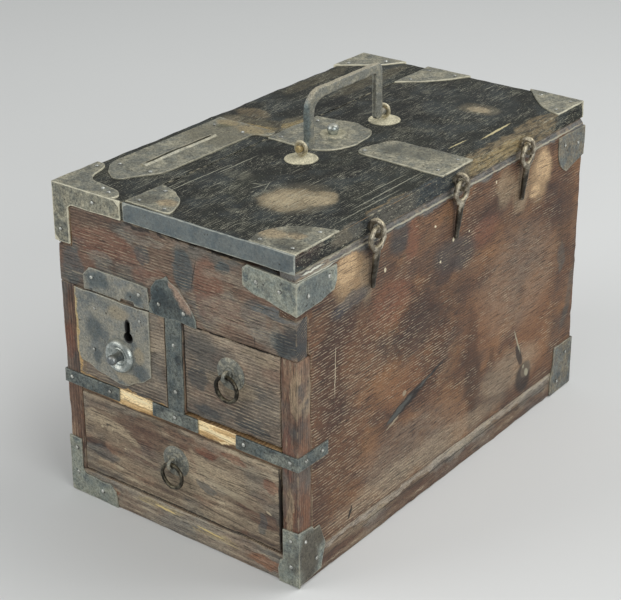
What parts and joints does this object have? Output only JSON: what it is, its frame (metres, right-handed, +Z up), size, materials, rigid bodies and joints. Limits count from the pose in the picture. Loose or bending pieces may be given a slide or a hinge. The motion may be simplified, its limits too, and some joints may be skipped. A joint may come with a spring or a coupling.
{
  "type": "coin chest",
  "caption": "Wooden coin chest with iron corner fittings, hinged lid with bail handle, coin slot over a locking drawer, and ring-pull drawers at one end.",
  "frame": {"origin": "middle of the underside of the bottom board, on the plane that the chest stands on", "axes": "+X to the right across the drawer end, -Y out of the drawer end, +Z up; the lid's hinges are on the +X side"},
  "size_m": [0.2641, 0.4448, 0.344],
  "materials": {
    "case_wood": "worn bare wood, red-brown with smoky patches",
    "front_wood": "worn bare wood, red-brown",
    "top_wood": "blackened, worn to tan on its corners",
    "pale_wood": "plain unfinished softwood",
    "iron": "hand-cut sheet iron, grey patina with tan dust and rust",
    "dark_iron": "forged iron, dark, rubbed bright on its edges"
  },
  "bodies": {
    "case": {"bottom_board": "case_wood", "left_side_board": "case_wood", "right_side_board": "case_wood", "back_board": "case_wood", "front_top_board": "front_wood", "front_posts": "front_wood", "middle_shelf": "pale_wood", "drawer_divider": "case_wood", "well_floor": "pale_wood", "chute_partition": "pale_wood", "fixed_top_strip": "top_wood", "coin_slot_plate": "iron", "strip_front_iron": "iron", "strip_back_iron": "iron", "case_iron_front": "iron", "case_iron_back": "iron", "base_irons_front": "iron", "base_irons_back": "iron", "rail_straps": "iron", "divider_strap": "iron", "divider_cap_plate": "iron", "strike_plate": "iron", "case_nails": "dark_iron", "hinge_case_eyes": "dark_iron"},
    "lid": {"lid_board": "top_wood", "lid_front_band": "iron", "lid_irons_front": "iron", "lid_irons_back": "iron", "lid_centre_plate": "iron", "lid_side_strap": "iron", "hinge_lid_eyes": "dark_iron", "handle_washers": "dark_iron", "handle_eyes": "dark_iron", "catch_washer": "dark_iron", "lid_nails": "dark_iron"},
    "bail": {"bail_handle": "dark_iron"},
    "catch": {"catch_knob": "dark_iron", "catch_bar": "dark_iron"},
    "lock_drawer": {"lock_drawer_front": "front_wood", "lock_drawer_sides": "pale_wood", "lock_drawer_back": "pale_wood", "lock_drawer_bottom": "pale_wood", "lock_plate": "iron", "lock_boss": "dark_iron", "lock_knob": "dark_iron", "lock_case": "dark_iron"},
    "bolt": {"lock_bolt": "dark_iron"},
    "small_drawer": {"small_drawer_front": "front_wood", "small_drawer_sides": "pale_wood", "small_drawer_back": "pale_wood", "small_drawer_bottom": "pale_wood", "small_pull_rosette": "dark_iron"},
    "small_ring": {"small_pull_ring": "dark_iron"},
    "large_drawer": {"large_drawer_front": "front_wood", "large_drawer_sides": "pale_wood", "large_drawer_back": "pale_wood", "large_drawer_bottom": "pale_wood", "large_pull_rosette": "dark_iron"},
    "large_ring": {"large_pull_ring": "dark_iron"}
  },
  "joints": [
    {"name": "lid_hinge", "type": "hinge", "parent": "case", "child": "lid", "pos_m": [0.1305, 0, 0.2805], "axis": [0, 1, 0], "range_deg": [0, 180]},
    {"name": "bail_swing", "type": "hinge", "parent": "lid", "child": "bail", "pos_m": [0.005, 0.006, 0.2975], "axis": [0, 1, 0], "range_deg": [-96, 96]},
    {"name": "catch_turn", "type": "hinge", "parent": "lid", "child": "catch", "pos_m": [-0.0075, 0.007, 0.289], "axis": [0, 0, 1], "range_deg": [0, 90]},
    {"name": "lock_drawer_slide", "type": "slide", "parent": "case", "child": "lock_drawer", "axis": [0, -1, 0], "range_m": [0, 0.3]},
    {"name": "bolt_slide", "type": "slide", "parent": "lock_drawer", "child": "bolt", "axis": [0, 0, 1], "range_m": [0, 0.006]},
    {"name": "small_drawer_slide", "type": "slide", "parent": "case", "child": "small_drawer", "axis": [0, -1, 0], "range_m": [0, 0.3]},
    {"name": "small_ring_swing", "type": "hinge", "parent": "small_drawer", "child": "small_ring", "pos_m": [0.059, -0.22, 0.171], "axis": [-1, 0, 0], "range_deg": [-8, 186]},
    {"name": "large_drawer_slide", "type": "slide", "parent": "case", "child": "large_drawer", "axis": [0, -1, 0], "range_m": [0, 0.3]},
    {"name": "large_ring_swing", "type": "hinge", "parent": "large_drawer", "child": "large_ring", "pos_m": [-0.0025, -0.22, 0.0705], "axis": [-1, 0, 0], "range_deg": [-8, 186]}
  ]
}
